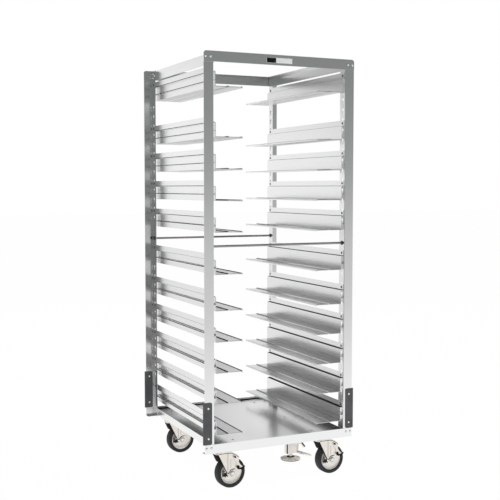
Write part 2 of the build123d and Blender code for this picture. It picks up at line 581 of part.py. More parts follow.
def build_nodes():
    """Every node of the rack by name."""
    nodes = {}
    for end_name, end in ENDS.items():
        for side_name, side in SIDES.items():
            nodes[f"post_{end_name}_{side_name}"] = placed(post(), side, end)
        nodes[f"top_rail_{end_name}"] = placed(top_rail(), -1, end)
        nodes[f"base_rail_{end_name}"] = placed(base_rail(), -1, end)
    for side_name, side in SIDES.items():
        nodes[f"top_side_rail_{side_name}"] = placed(top_side_rail(), side, -1)
        nodes[f"base_side_rail_{side_name}"] = placed(base_side_rail(), side, -1)
    nodes["deck"] = deck()
    nodes["cross_channels"] = group([cross_channel(y) for y in channel_places()])
    left_slide = Pos(-FLANGE_INNER, 0, 0) * slide()
    for number, z in enumerate(ledge_heights(), start=1):
        pair = [Pos(0, 0, z) * placed(left_slide, side, -1) for side in SIDES.values()]
        nodes[f"slide_pair_{number:02d}"] = group(pair)
    nodes["slide_screws"] = group(slide_screws())
    nodes["frame_rivets"] = group(frame_rivets())
    nodes["tie_rods"] = group(tie_rods())
    nodes["rod_nuts"] = group(rod_nuts())
    nodes["corner_bumpers"] = group([placed(bumper(), side, end) for side in SIDES.values() for end in ENDS.values()])
    nodes["bumper_rivets"] = group(bumper_rivets())
    places = plate_places()
    nodes["caster_plates"] = group([Pos(x, y, 0) * caster_plate() for x, y in places[:4]])
    nodes["plate_bolts"] = group([Pos(x + dx, y + dy, 0) * plate_bolt() for x, y in places for dx, dy in bolt_offsets()])
    names = ("front_left", "front_right", "rear_left", "rear_right")
    for name, place in zip(names, places):
        nodes[f"fork_{name}"] = caster_at(place, fork(braked=name.startswith("front")))
        nodes[f"axle_{name}"] = caster_at(place, axle())
        nodes[f"wheel_{name}"] = caster_at(place, wheel_centre())
        nodes[f"tyre_{name}"] = caster_at(place, tyre())
        if name.startswith("front"):
            nodes[f"brake_lever_{name}"] = caster_at(place, brake_lever())
    lock = Pos(LOCK_X, LOCK_Y, 0)
    nodes["lock_housing"] = lock * lock_housing()
    nodes["lock_stem"] = lock * lock_stem()
    nodes["lock_pad"] = lock * lock_pad()
    nodes["lock_pedal"] = lock * lock_pedal()
    return nodes


def main():
    """Write one STEP file per node."""
    os.makedirs("parts", exist_ok=True)
    for name, shape in build_nodes().items():
        export_step(shape, f"parts/{name}.step")


main()
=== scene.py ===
"""Looks of an open stainless roll-in rack: folded uprights and rails, beaded tray slides, a solid deck,
corner bumpers, swivel casters and a pedal floor lock, in a plain bright studio."""

import json
import logging
import math
from collections.abc import Sequence
from dataclasses import dataclass
from enum import Enum

import bmesh
import bpy
from mathutils import Matrix, Vector


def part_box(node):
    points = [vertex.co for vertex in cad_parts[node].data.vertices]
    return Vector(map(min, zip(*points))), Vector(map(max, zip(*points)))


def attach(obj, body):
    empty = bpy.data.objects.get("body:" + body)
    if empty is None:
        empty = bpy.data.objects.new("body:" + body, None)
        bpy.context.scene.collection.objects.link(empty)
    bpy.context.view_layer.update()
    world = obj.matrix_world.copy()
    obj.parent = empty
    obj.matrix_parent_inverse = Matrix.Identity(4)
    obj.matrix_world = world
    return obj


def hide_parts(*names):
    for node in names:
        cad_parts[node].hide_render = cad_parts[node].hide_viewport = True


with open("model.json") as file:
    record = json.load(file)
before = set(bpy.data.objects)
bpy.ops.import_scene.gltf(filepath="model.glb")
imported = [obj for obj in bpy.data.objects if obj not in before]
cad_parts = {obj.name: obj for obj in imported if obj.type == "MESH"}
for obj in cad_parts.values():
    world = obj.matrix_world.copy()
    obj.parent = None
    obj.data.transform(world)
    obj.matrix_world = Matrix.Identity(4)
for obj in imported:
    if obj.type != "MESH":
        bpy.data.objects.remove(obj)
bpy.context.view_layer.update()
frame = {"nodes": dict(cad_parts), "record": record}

log = logging.getLogger("rack")

Material = bpy.types.Material
Node = bpy.types.Node
Socket = bpy.types.NodeSocket
Feed = float | Sequence[float] | Socket
Inputs = dict[str | int, Feed]
Pair = tuple[float, float]
Triple = tuple[float, float, float]
Outline = tuple[Pair, ...]

BASE_TOP = 0.3
NUT_PLANE = 0.3035
SEAT_PLANES = {"frame_rivets": 0.0, "bumper_rivets": 0.364, "slide_screws": 0.3015}
SHARP_ANGLE = math.radians(32.0)


class Grain(Enum):
    """Direction in which a sheet was brushed."""

    ALONG_X = (6.0, 420.0, 420.0)
    ALONG_Y = (420.0, 6.0, 420.0)
    ALONG_Z = (420.0, 420.0, 6.0)
    NONE = (60.0, 60.0, 60.0)


@dataclass(frozen=True)
class BrushedSteel:
    """Stainless sheet with fine drawn lines and a faint cloudiness."""

    name: str
    color: Triple
    roughness: float
    grain: Grain
    contrast: float = 0.05
    bump: float = 0.04
    metallic: float = 1.0
    # span of distance from the middle over which painted shade sets in along the sides
    shaded_sides: Pair | None = None
    line_share: float = 0.8
    cloud_scale: float = 3.2
    noise_span: Pair = (0.45, 1.15)
    rough_by: Pair = (0.02, 0.03)
    depth: float = 0.0003

    def build(self) -> Material:
        """Makes the node material, which reads Object coordinates."""
        material, shader, nodes = new_material(self.name)
        place = nodes.place()
        drawn = nodes.add("Mapping", {"Vector": place, "Scale": self.grain.value}).outputs[0]
        lines = nodes.noise(drawn, 1.0, 5.0)
        both = nodes.calc("MULTIPLY_ADD", lines, self.line_share, nodes.noise(place, self.cloud_scale, 2.0))
        level = nodes.ranged(both, self.noise_span, (1.0 - self.contrast, 1.0 + self.contrast * 0.5))
        # painted shade: the colour darkens towards the sheet's sides, most in front
        if self.shaded_sides:
            level = nodes.times(level, self.painted_side_shade(nodes))
        smoother, rougher = self.rough_by
        nodes.feed(shader, {
            "Base Color": nodes.mix(1.0, (*self.color, 1.0), level, "RGBA", "MULTIPLY"),
            "Roughness": nodes.ranged(lines, (0.25, 0.75), (self.roughness - smoother, self.roughness + rougher)),
            "Normal": nodes.bump(lines, self.bump, self.depth),
            "Metallic": self.metallic,
        })
        return material

    def painted_side_shade(self, nodes: "Nodes") -> Socket:
        """Gives the share of the colour that is left under the painted shade along the sheet's sides, which fades to
        the back.
        """
        x, y, _ = nodes.axes()
        aside = nodes.eased(nodes.calc("ABSOLUTE", x), self.shaded_sides)
        ahead = nodes.eased(y, (-0.25, 0.35), (0.94, 0.55))
        return nodes.eased(nodes.times(aside, ahead), (0.0, 1.0), (1.0, 0.0))


@dataclass(frozen=True)
class Moulded:
    """Rubber or plastic with a fine pebbled skin."""

    name: str
    color: Triple
    roughness: float
    scale: float = 900.0
    bump: float = 0.15
    specular: float = 0.5
    wear_scale: float = 22.0
    wear: Outline = ((0.3, 0.8), (0.75, 1.25))
    depth: float = 0.0004

    def build(self) -> Material:
        """Makes the node material, which reads Object coordinates."""
        material, shader, nodes = new_material(self.name)
        place = nodes.place()
        ramp = nodes.add("ValToRGB", {0: nodes.noise(place, self.wear_scale, 4.0)})
        for element, (position, gain) in zip(ramp.color_ramp.elements, self.wear):
            element.position = position
            element.color = (*[min(1.0, channel * gain) for channel in self.color], 1.0)
        nodes.feed(shader, {
            "Base Color": ramp.outputs[0],
            "Normal": nodes.bump(nodes.noise(place, self.scale, 3.0), self.bump, self.depth),
            "Roughness": self.roughness,
            "Specular IOR Level": self.specular,
        })
        return material


class Nodes:
    """A node tree in the making. Most methods add a node and give the socket that its value leaves by."""

    def __init__(self, tree: bpy.types.NodeTree) -> None:
        """Takes the tree."""
        self.tree = tree

    def feed(self, node: Node, inputs: Inputs) -> Node:
        """Sets a node's inputs, or links them where a socket is given.

        Args:
            node: the node.
            inputs: what goes into each input.

        Returns:
            The same node.
        """
        for key, value in inputs.items():
            if isinstance(value, Socket):
                self.tree.links.new(value, node.inputs[key])
            else:
                node.inputs[key].default_value = value
        return node

    def add(self, kind: str, inputs: Inputs | None = None) -> Node:
        """Adds a node of a kind, named without the prefix that shader nodes share, and feeds it."""
        return self.feed(self.tree.nodes.new(f"ShaderNode{kind}"), inputs or {})

    def place(self, output: str = "Object") -> Socket:
        """Adds coordinates: an object's own, or Generated for the world."""
        return self.add("TexCoord").outputs[output]

    def axes(self, output: str = "Object") -> tuple[Socket, ...]:
        """Adds coordinates that are split into X, Y and Z."""
        return tuple(self.add("SeparateXYZ", {"Vector": self.place(output)}).outputs)

    def noise(self, place: Socket, scale: float, detail: float) -> Socket:
        """Adds noise of a scale and detail at a place."""
        return self.add("TexNoise", {"Vector": place, "Scale": scale, "Detail": detail}).outputs[0]

    def bump(self, height: Socket, strength: float, distance: float) -> Socket:
        """Adds a bump of a strength and depth."""
        return self.add("Bump", {"Strength": strength, "Distance": distance, "Height": height}).outputs[0]

    def calc(self, operation: str, *values: Feed) -> Socket:
        """Adds a calculation with up to three values."""
        node = self.add("Math")
        node.operation = operation
        return self.feed(node, dict(enumerate(values))).outputs[0]

    def times(self, first: Feed, second: Feed) -> Socket:
        """Adds a product."""
        return self.calc("MULTIPLY", first, second)

    def ranged(self, value: Feed, span: Pair, levels: Pair, curve: str = "LINEAR") -> Socket:
        """Adds a change from one level to another over a span.

        Args:
            value: what decides the level.
            span: where the change starts and ends.
            levels: the level before the span and after it.
            curve: how the level changes between them.

        Returns:
            The level.
        """
        node = self.add("MapRange")
        node.interpolation_type = curve
        ends = zip(("From Min", "From Max", "To Min", "To Max"), (*span, *levels))
        return self.feed(node, {"Value": value, **dict(ends)}).outputs[0]

    def eased(self, value: Feed, span: Pair, levels: Pair = (0.0, 1.0)) -> Socket:
        """Adds a smooth change from one level to another over a span."""
        return self.ranged(value, span, levels, "SMOOTHSTEP")

    def mix(self, share: Feed, first: Feed, second: Feed, kind: str = "FLOAT", blend: str = "MIX") -> Socket:
        """Adds a mix of two levels or colours.

        Args:
            share: the second one's share.
            first: the first one.
            second: the second one.
            kind: FLOAT for levels, RGBA for colours.
            blend: how they are blended.

        Returns:
            The mix.
        """
        node = self.add("Mix")
        node.data_type = kind
        node.blend_type = blend
        return self.feed(node, {"Factor": share, "A": first, "B": second}).outputs["Result"]

    def either(self, share: Feed, first: Socket, second: Socket) -> Socket:
        """Adds a mix of two shaders by the second one's share."""
        return self.add("MixShader", {0: share, 1: first, 2: second}).outputs[0]


def new_material(name: str) -> tuple[Material, Node, Nodes]:
    """Makes an empty material, and gives it with its Principled shader and its nodes."""
    material = bpy.data.materials.new(name)
    material.use_nodes = True
    return material, material.node_tree.nodes["Principled BSDF"], Nodes(material.node_tree)


def dress(name: str, material: Material) -> None:
    """Gives a carried-over node its finish."""
    for slot in frame["nodes"][name].material_slots:
        slot.material = material
    log.info("dressed %s in %s", name, material.name)


class Work:
    """One mesh in the making, shaped by bmesh operators in the row frame, in metres."""

    def __init__(self) -> None:
        """Starts an empty mesh."""
        self.mesh = bmesh.new()

    def cuboid(self, low: Sequence[float], high: Sequence[float], round_by: float = 0.0,
               place: Matrix | None = None) -> None:
        """Adds a box with softened edges.

        Args:
            low: its lowest corner.
            high: its highest corner.
            round_by: the radius along its edges.
            place: where it goes.
        """
        low_corner, high_corner = Vector(low), Vector(high)
        size = high_corner - low_corner
        shape = Matrix.Translation((low_corner + high_corner) / 2) @ Matrix.Diagonal((*size, 1.0))
        verts = bmesh.ops.create_cube(self.mesh, size=1.0, matrix=shape)["verts"]
        self.soften(verts, round_by, 3)
        self.put(verts, place)

    def prism(self, radius: float, height: float, sides: int, place: Matrix, round_by: float = 0.0,
              top_radius: float | None = None) -> None:
        """Adds an upright prism or cone standing on the place's origin.

        Args:
            radius: its radius at the foot.
            height: its height.
            sides: how many sides it has.
            place: where it goes.
            round_by: the chamfer at its ends.
            top_radius: its radius at the top, where that differs.
        """
        top = radius if top_radius is None else top_radius
        verts = bmesh.ops.create_cone(self.mesh, cap_ends=True, segments=sides, radius1=radius, radius2=top,
                                      depth=height, matrix=Matrix.Translation((0, 0, height / 2)))["verts"]
        self.soften(verts, round_by, 2, flat_only=True)
        self.put(verts, place)

    def dome(self, radius: float, height: float, place: Matrix, sides: int = 14) -> None:
        """Adds a low domed head standing on the place's origin.

        Args:
            radius: the head's radius.
            height: its height.
            place: where it goes.
            sides: how many sides it has.
        """
        scale = Matrix.Diagonal((radius, radius, height, 1.0))
        verts = bmesh.ops.create_uvsphere(self.mesh, u_segments=sides, v_segments=8, radius=1.0, matrix=scale)["verts"]
        self.put(verts, place)

    def turned(self, outline: Sequence[Pair], place: Matrix, steps: int,
               angle: float = math.tau) -> None:
        """Adds a closed outline of radius and height, turned about the place's Z axis.

        Args:
            outline: the corners of the outline.
            place: where it goes.
            steps: how many steps the turn has.
            angle: how far it turns, with flat ends where that is less than a full turn.
        """
        verts = [self.mesh.verts.new((radius, 0.0, height)) for radius, height in outline]
        edges = [self.mesh.edges.new(pair) for pair in zip(verts, verts[1:] + verts[:1])]
        before = set(self.mesh.verts) - set(verts)
        full = angle >= math.tau
        spun = bmesh.ops.spin(self.mesh, geom=verts + edges, cent=(0, 0, 0), axis=(0, 0, 1), angle=angle, steps=steps,
                              use_merge=full, use_normal_flip=False, use_duplicate=False)
        if not full:
            last = [item for item in spun["geom_last"] if isinstance(item, bmesh.types.BMEdge)]
            bmesh.ops.contextual_create(self.mesh, geom=edges)
            bmesh.ops.contextual_create(self.mesh, geom=last)
        made = [vert for vert in self.mesh.verts if vert not in before]
        self.put(made, place)

    def plate(self, outline: Sequence[Pair], thickness: float, place: Matrix,
              round_by: float = 0.0) -> None:
        """Adds a flat plate with a straight-sided outline, its near face on the place's XY plane.

        Args:
            outline: its corners in the plane.
            thickness: its thickness along Z.
            place: where it goes.
            round_by: the softening of its edges.
        """
        face = self.mesh.faces.new([self.mesh.verts.new((x, y, 0.0)) for x, y in outline])
        grown = bmesh.ops.extrude_face_region(self.mesh, geom=[face])["geom"]
        raised = [item for item in grown if isinstance(item, bmesh.types.BMVert)]
        bmesh.ops.translate(self.mesh, verts=raised, vec=(0, 0, thickness))
        verts = list(face.verts) + raised
        self.soften(verts, round_by, 2)
        self.put(verts, place)

    def soften(self, verts: Sequence[bmesh.types.BMVert], radius: float, segments: int,
               flat_only: bool = False) -> None:
        """Bevels the edges between some vertices, which then stand for the whole shape.

        Args:
            verts: the shape's vertices; the list then holds the new ones too.
            radius: the bevel's width.
            segments: how many segments it has.
            flat_only: bevels only the edges that lie level.
        """
        if radius <= 0.0:
            return
        known = set(self.mesh.verts) - set(verts)
        edges = {edge for vert in verts for edge in vert.link_edges}
        if flat_only:
            edges = {edge for edge in edges if abs(edge.verts[0].co.z - edge.verts[1].co.z) < 1e-7}
        bmesh.ops.bevel(self.mesh, geom=list(edges), offset=radius, offset_type="OFFSET", segments=segments,
                        profile=0.5, affect="EDGES", material=-1, clamp_overlap=True)
        verts[:] = [vert for vert in self.mesh.verts if vert not in known]

    def put(self, verts: Sequence[bmesh.types.BMVert], place: Matrix | None) -> None:
        """Moves vertices to their place.

        Args:
            verts: the vertices.
            place: where they go, or None to leave them.
        """
        if place is not None:
            bmesh.ops.transform(self.mesh, matrix=place, verts=list(verts))

    def deliver(self, name: str, body: str, material: Material, slot: str,
                stands_for: Sequence[str] = ()) -> bpy.types.Object:
        """Makes the object, gives it its finish and its body, and reports it.

        Args:
            name: the piece's name.
            body: the CAD body that it rides on.
            material: its finish.
            slot: the record's material slot; not used.
            stands_for: the CAD nodes that it replaces.

        Returns:
            The finished object.
        """
        bmesh.ops.remove_doubles(self.mesh, verts=self.mesh.verts, dist=1e-6)
        bmesh.ops.recalc_face_normals(self.mesh, faces=self.mesh.faces)
        for face in self.mesh.faces:
            face.smooth = True
        for edge in self.mesh.edges:
            edge.smooth = len(edge.link_faces) == 2 and edge.calc_face_angle() < SHARP_ANGLE
        data = bpy.data.meshes.new(name)
        self.mesh.to_mesh(data)
        self.mesh.free()
        data.materials.append(material)
        piece = bpy.data.objects.new(name, data)
        bpy.context.scene.collection.objects.link(piece)
        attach(piece, body)
        if stands_for:
            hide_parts(*stands_for)
        log.info("made %s on %s, %d faces", name, body, len(data.polygons))
        return piece


def ribbon(points: Sequence[Pair], width: float) -> list[Pair]:
    """Gives the outline of a ribbon of some width, down one side of a line and back up the other."""
    line = [Vector(point) for point in points]
    sides = []
    for index, point in enumerate(line):
        run = line[min(index + 1, len(line) - 1)] - line[max(index - 1, 0)]
        across = Vector((-run.y, run.x)).normalized() * width / 2
        sides.append((point + across, point - across))
    return [tuple(left) for left, _ in sides] + [tuple(right) for _, right in reversed(sides)]


def facing(point: Sequence[float], direction: Sequence[float]) -> Matrix:
    """Gives the place that has its origin at a point and its Z along a direction."""
    turn = Vector(direction).to_track_quat("Z", "Y").to_matrix().to_4x4()
    return Matrix.Translation(Vector(point)) @ turn


def mirrored(side: Sequence[Pair]) -> list[Pair]:
    """Closes the outline of a wheel's one side with its mirror image on the other side."""
    return list(side) + [(radius, -height) for radius, height in reversed(side)]


def arc(centre: Pair, radius: float, start: float, end: float, steps: int) -> list[Pair]:
    """Gives points along an arc, from its start to its end in degrees."""
    angles = [math.radians(start + (end - start) * step / steps) for step in range(steps + 1)]
    return [(centre[0] + radius * math.cos(angle), centre[1] + radius * math.sin(angle)) for angle in angles]


@dataclass
class SlideLines:
    """Painted shadow lines along the joggle and rib of each tray slide and along the bead and lip of the left slide's
    ledge, painted highlight lines along the bead and lip of the right slide's ledge, and two bands of painted shade on
    each ledge's top.
    """

    finish: Material
    # finish of the painted highlight lines on the right slides' ledges
    painted_highlight: Material
    # materials of the two bands of painted shade on each ledge's top
    dull_and_painted_shade: tuple[Material, Material]
    ledge_above_foot: float = 0.0055
    end_gap: float = 0.001
    joggle: float = 0.010
    step_above_ledge: float = 0.057
    rib_above_ledge: float = 0.024
    sheet: float = 0.0015
    step_lines: Pair = (0.0026, 0.0008)
    rib_line: float = 0.0026
    right_line: float = 0.0019
    inner_lines: Pair = (0.0019, 0.0012)
    eye_level: float = 1.0
    bead: float = 0.0665
    bead_height: float = 0.003
    lip: float = 0.1282
    slope: Pair = (0.0040, 0.0010)
    hem: Pair = (0.0005, 0.0022)
    # painted shade: darker bands on each ledge's top, between leg and bead and between bead and lip
    shade_bands: tuple[Triple, ...] = ((0.0125, 0.0618, 0.060), (0.0712, 0.1268, 0.160))
    shade_band_film: float = 0.0001
    proud: float = 0.0002

    def build(self) -> None:
        """Makes the lines of all slides as thin pieces."""
        work, edges, films = Work(), Work(), (Work(), Work())
        for name in sorted(node for node in frame["nodes"] if node.startswith("slide_pair_")):
            low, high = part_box(name)
            ledge = low[2] + self.ledge_above_foot
            ends = (low[1] + self.end_gap, high[1] - self.end_gap)
            for side in (-1.0, 1.0):
                self.add_leg_lines(work, side, high[0], ledge, ends)
                # the right slide's ledge lines are painted highlight, the left slide's painted shadow
                self.add_ledge_lines(edges if side > 0 else work, side, high[0], ledge, ends)
                # painted shade: thin darker films on the ledge's top
                for film, (near, far, short_by) in zip(films, self.shade_bands):
                    xs = sorted(side * (high[0] - reach) for reach in (near, far))
                    film.cuboid((xs[0], ends[0], ledge - self.shade_band_film),
                                (xs[1], ends[1] - short_by, ledge + self.shade_band_film))
        work.deliver("slide_shadow_lines", "rack", self.finish, "slide_sheet")
        edges.deliver("slide_painted_highlight_edges", "rack", self.painted_highlight, "slide_sheet")
        films[0].deliver("slide_shade_bands", "rack", self.dull_and_painted_shade[0], "slide_sheet")
        films[1].deliver("slide_inner_shade_bands", "rack", self.dull_and_painted_shade[1], "slide_sheet")

    def add_leg_lines(self, work: Work, side: float, outer: float, ledge: float, ends: Pair) -> None:
        """Adds the lines of one slide's leg.

        Args:
            work: the mesh in the making.
            side: -1 for the left slide, 1 for the right one.
            outer: how far the slide's flange is from the middle.
            ledge: the height of the ledge's top.
            ends: the lines' front and rear ends.
        """
        left = side < 0
        step_line = self.step_lines[0 if ledge > self.eye_level else 1] if left else self.right_line
        rib_line = self.rib_line if left else self.right_line
        inner_line = self.inner_lines[0 if left else 1]
        step = ledge + self.step_above_ledge
        inner_step = step + self.sheet / 2
        rib = ledge + self.rib_above_ledge - rib_line / 2
        inner = outer - self.sheet
        for near, far, low, high in (
            (outer - self.proud, outer + self.proud, step, step + step_line),
            (outer - self.proud, outer + self.proud, rib, rib + rib_line),
            (inner - self.proud, inner + self.proud, inner_step, inner_step + inner_line),
            (inner - self.joggle + self.sheet, inner, inner_step, inner_step + self.proud),
        ):
            xs = sorted((side * near, side * far))
            work.cuboid((xs[0], ends[0], low), (xs[1], ends[1], high))

    def add_ledge_lines(self, work: Work, side: float, outer: float, ledge: float, ends: Pair) -> None:
        """Adds the lines on the slope of the ledge's bead and along its lip, with the arguments of add_leg_lines:
        painted shadow on the left slide, painted highlight on the right one.
        """
        foot, crown = (outer - self.bead - side * reach for reach in self.slope)
        top, film = ledge + self.bead_height, side * self.proud
        slope = [(foot, ledge + self.proud), (crown, top), (crown + film, top), (foot + film, ledge)]
        along = Matrix.Translation((0.0, ends[1], 0.0)) @ Matrix.Rotation(math.pi / 2, 4, "X")
        work.plate([(side * x, z) for x, z in slope], ends[1] - ends[0], along)
        lip = sorted((side * (outer - self.lip - self.proud), side * (outer - self.lip + self.hem[0])))
        work.cuboid((lip[0], ends[0], ledge - self.proud), (lip[1], ends[1], ledge + self.hem[1]))


@dataclass
class Fasteners:
    """Rivets, studs and nuts of the frame; each rivet and stud stands on a dark ring of painted shadow."""

    polished: Material
    bright: Material
    dark: Material
    dull_and_painted_shade: Material
    rivet: Pair = (0.0041, 0.0020)
    bumper_rivet: Pair = (0.0044, 0.0020)
    stud: Pair = (0.0048, 0.0022)
    shadow_ring: Pair = (1.12, 0.0003)
    washer: Pair = (0.0092, 0.0008)
    nut: Pair = (0.0082, 0.98)

    def build(self) -> None:
        """Makes every visible fastener of the frame."""
        self.make_heads("frame_rivets", self.bright, self.rivet, self.polished)
        self.make_heads("bumper_rivets", self.bright, self.bumper_rivet)
        self.make_heads("slide_screws", self.dull_and_painted_shade, self.stud)
        self.make_nuts()

    def make_heads(self, node: str, finish: Material, size: Pair, low_finish: Material | None = None) -> None:
        """Makes domed heads where the CAD has its plain ones, each on a dark ring of painted shadow.

        Args:
            node: the CAD node that holds the plain heads.
            finish: the heads' finish.
            size: the head's radius and height.
            low_finish: the finish of the heads on the front of the base, where that differs.
        """
        heads, low_heads, shadow_rings = Work(), Work(), Work()
        for centre, direction in head_places(node):
            place = facing(centre, direction)
            low = low_finish and centre.z < BASE_TOP and centre.y < 0.0
            (low_heads if low else heads).dome(*size, place)
            # painted shadow: a thin dark ring about the head's foot
            shadow_rings.prism(size[0] * self.shadow_ring[0], self.shadow_ring[1], 16, place)
        heads.deliver(f"{node}_domed", "rack", finish, "fastener", [node])
        if low_finish:
            low_heads.deliver(f"{node}_low_domed", "rack", low_finish, "fastener", [node])
        shadow_rings.deliver(f"{node}_seats", "rack", self.dark, "fastener")

    def make_nuts(self) -> None:
        """Makes chamfered nuts with washers at the ends of the tie rods."""
        nuts = Work()
        for low, high in solid_boxes("rod_nuts"):
            outward = 1.0 if low[0] > 0 else -1.0
            near, far = sorted((abs(low[0]), abs(high[0])))
            inside = far <= NUT_PLANE
            foot = (outward * (far if inside else near), (low[1] + high[1]) / 2, (low[2] + high[2]) / 2)
            place = facing(foot, (-outward if inside else outward, 0.0, 0.0))
            nuts.prism(*self.washer, 24, place)
            nuts.prism(self.nut[0], (high[0] - low[0]) * self.nut[1], 6, place, 0.0008)
        nuts.deliver("rod_nuts_chamfered", "rack", self.dull_and_painted_shade, "fastener", ["rod_nuts"])


def solid_boxes(node: str) -> list[tuple[Vector, Vector]]:
    """Finds the lowest and highest corner of each separate solid in a CAD node."""
    copy = bmesh.new()
    copy.from_mesh(frame["nodes"][node].data)
    bmesh.ops.remove_doubles(copy, verts=copy.verts, dist=1e-6)
    boxes = []
    waiting = set(copy.verts)
    while waiting:
        reached = [waiting.pop()]
        island = []
        while reached:
            vert = reached.pop()
            island.append(vert.co.copy())
            for edge in vert.link_edges:
                other = edge.other_vert(vert)
                if other in waiting:
                    waiting.remove(other)
                    reached.append(other)
        boxes.append(tuple(Vector([pick(values) for values in zip(*island)]) for pick in (min, max)))
    copy.free()
    return sorted(boxes, key=lambda box: tuple(round(value, 4) for value in box[0]))


def head_places(node: str) -> list[tuple[Vector, Vector]]:
    """Finds where plain heads stand and the way they face.

    Args:
        node: the CAD node that holds the heads.

    Returns:
        The foot's centre and the outward direction of each head: away from the rack's middle outside the sheet
        that it sits on, and up on the deck, but towards the middle inside that sheet.
    """
    places = []
    for low, high in solid_boxes(node):
        size = high - low
        axis = min(range(3), key=lambda index: size[index])
        centre = (low + high) / 2
        outward = 1.0 if axis == 2 or centre[axis] > 0 else -1.0
        if abs(centre[axis]) < SEAT_PLANES[node]:
            outward = -outward
        foot = centre.copy()
        foot[axis] -= outward * size[axis] / 2
        direction = Vector((0.0, 0.0, 0.0))
        direction[axis] = outward
        places.append((foot, direction))
    return places


@dataclass
class Caster:
    """Dressings of one caster: tyre, wheel disc, axle bolt, dark lines of painted shade on the fork's pressed lines
    and edges, painted shadow over its nose, patches of painted shade on the disc and, in front, the brake's foot.
    """

    name: str
    finishes: dict[str, Material]
    radius: float = 0.0643
    half_width: float = 0.018
    disc_radius: float = 0.048
    shoulder: float = 0.004
    dish: Outline = ((0.0190, 0.0126), (0.0240, 0.0112), (0.0300, 0.0114), (0.0400, 0.0128), (0.0440, 0.0140))
    tyre_bead: Outline = ((-0.0006, 0.0030), (0.0016, 0.0004), (0.0030, 0.0))
    tread_drop: float = 0.0004
    tread_share: float = 0.35
    bore: float = 0.0052
    hub_size: Pair = (0.0085, 0.0202)
    hub_round: float = 0.0060
    rim: Outline = ((0.0016, 0.0022), (0.0004, 0.0026))
    trail: float = 0.038
    leg_plane: float = 0.024
    washer: Pair = (0.0088, 0.0011)
    bolt_radius: float = 0.0076
    bolt_heights: Pair = (0.0052, 0.0058)
    bolt_end: Pair = (0.0048, 0.0034)
    hub_shade_ring: float = 0.0102
    crease_depth: float = 0.0006
    crease_shade_lines: tuple[tuple[float, Outline], ...] = (
        (0.0013, ((0.0175, 0.1500), (0.0175, 0.0670))),
        (0.0008, ((0.0311, 0.1245), (0.0311, 0.0865))),
        (0.0038, ((0.0160, 0.0660), (0.0235, 0.0668), (0.0265, 0.0720), (0.0302, 0.0775), (0.0390, 0.0800),
                  (0.0500, 0.0806))),
        (0.0022, ((-0.0250, 0.1504), (0.0190, 0.1504), (0.0360, 0.1478), (0.0517, 0.1412), (0.0610, 0.1345),
                  (0.0690, 0.1270))),
    )
    nose_top: Pair = (-0.026, 0.1485)
    nose_drop: float = 0.0331
    nose_radii: Pair = (0.012, 0.024)
    nose_skin: Pair = (0.0004, -0.0006)
    edge_foot: Pair = (0.0148, 0.0664)
    edge_strip: Outline = (
        (-0.0004, 0.0002), (0.0009, 0.0002), (0.0009, -0.0004), (-0.0002, -0.0075), (-0.0004, -0.0075))
    # patches of painted shade on the disc beside the hub: turn angles and radii
    brown_shade: tuple[tuple[float, ...], ...] = ((158.0, 184.0, 0.0370, 0.0438), (162.0, 190.0, 0.0300, 0.0385))
    dark_shade: tuple[tuple[float, ...], ...] = (
        (184.0, 202.0, 0.0330, 0.0430), (178.0, 214.0, 0.0240, 0.0340), (176.0, 226.0, 0.0192, 0.0245))
    film: Pair = (0.0003, -0.0004)
    foot_outline: Outline = (
        (0.0600, 0.0840), (0.0700, 0.0835), (0.0790, 0.0825), (0.0850, 0.0850), (0.0910, 0.0915), (0.0945, 0.0900),
        (0.0925, 0.0835), (0.0850, 0.0785), (0.0760, 0.0765), (0.0660, 0.0775), (0.0600, 0.0800))
    foot_proud: float = 0.0036
    foot_thickness: float = 0.0042
    brake_pad: Pair = (0.0630, 0.0880)
    pad_size: Pair = (0.0070, 0.0026)
    brake_pivot: Pair = (0.049, 0.132)
    pin_size: Pair = (0.0038, 0.0044)

    def __post_init__(self) -> None:
        """Reads the caster's place and turn from the record's joints."""
        joints = {joint["name"]: joint for joint in frame["record"]["behaviour"]["joints"]}
        self.pin = Vector(joints[f"swivel_{self.name}"]["pos_m"])
        spin = joints[f"spin_{self.name}"]
        self.hub = Vector(spin["pos_m"])
        self.axis = Vector(spin["axis"])
        self.turn = math.atan2(-self.axis.x, self.axis.y)

    def local(self) -> Matrix:
        """Gives the frame with X along the trail, Y along the axle and the floor under the kingpin as its origin."""
        return Matrix.Translation((self.pin.x, self.pin.y, 0.0)) @ Matrix.Rotation(self.turn, 4, "Z")

    def build(self) -> None:
        """Makes the caster's pieces."""
        self.make_tyre()
        self.make_disc()
        self.make_axle()
        self.make_crease_shade()
        self.make_nose_shadow()
        self.make_hub_shade()
        if self.name.startswith("front"):
            self.make_brake_foot()

    def make_tyre(self) -> None:
        """Makes the tyre with round shoulders and a slightly crowned tread."""
        half, corner = self.half_width, self.shoulder
        side = [(self.disc_radius + out, half - inward) for out, inward in self.tyre_bead]
        side += arc((self.radius - corner - self.tread_drop, half - corner), corner, 90.0, 8.0, 5)
        side += [(self.radius, half * self.tread_share)]
        work = Work()
        work.turned(mirrored(side), facing(self.hub, self.axis), 72)
        work.deliver(f"tyre_{self.name}_round", f"road_wheel_{self.name}", self.finishes["tyre"], "tyre",
                     [f"tyre_{self.name}"])

    def make_disc(self) -> None:
        """Makes the pressed disc: a rolled rim, a shallow dish and a domed hub."""
        hub_radius, hub_half = self.hub_size
        side = [(self.bore, hub_half), (hub_radius, hub_half)]
        side += arc((hub_radius, hub_half - self.hub_round), self.hub_round, 78.0, 20.0, 4)
        side += list(self.dish)
        side += [(self.disc_radius - inward, self.half_width - below) for inward, below in self.rim]
        work = Work()
        work.turned(mirrored(side), facing(self.hub, self.axis), 64)
        work.deliver(f"wheel_{self.name}_pressed", f"road_wheel_{self.name}", self.finishes["disc"], "wheel_disc",
                     [f"wheel_{self.name}"])

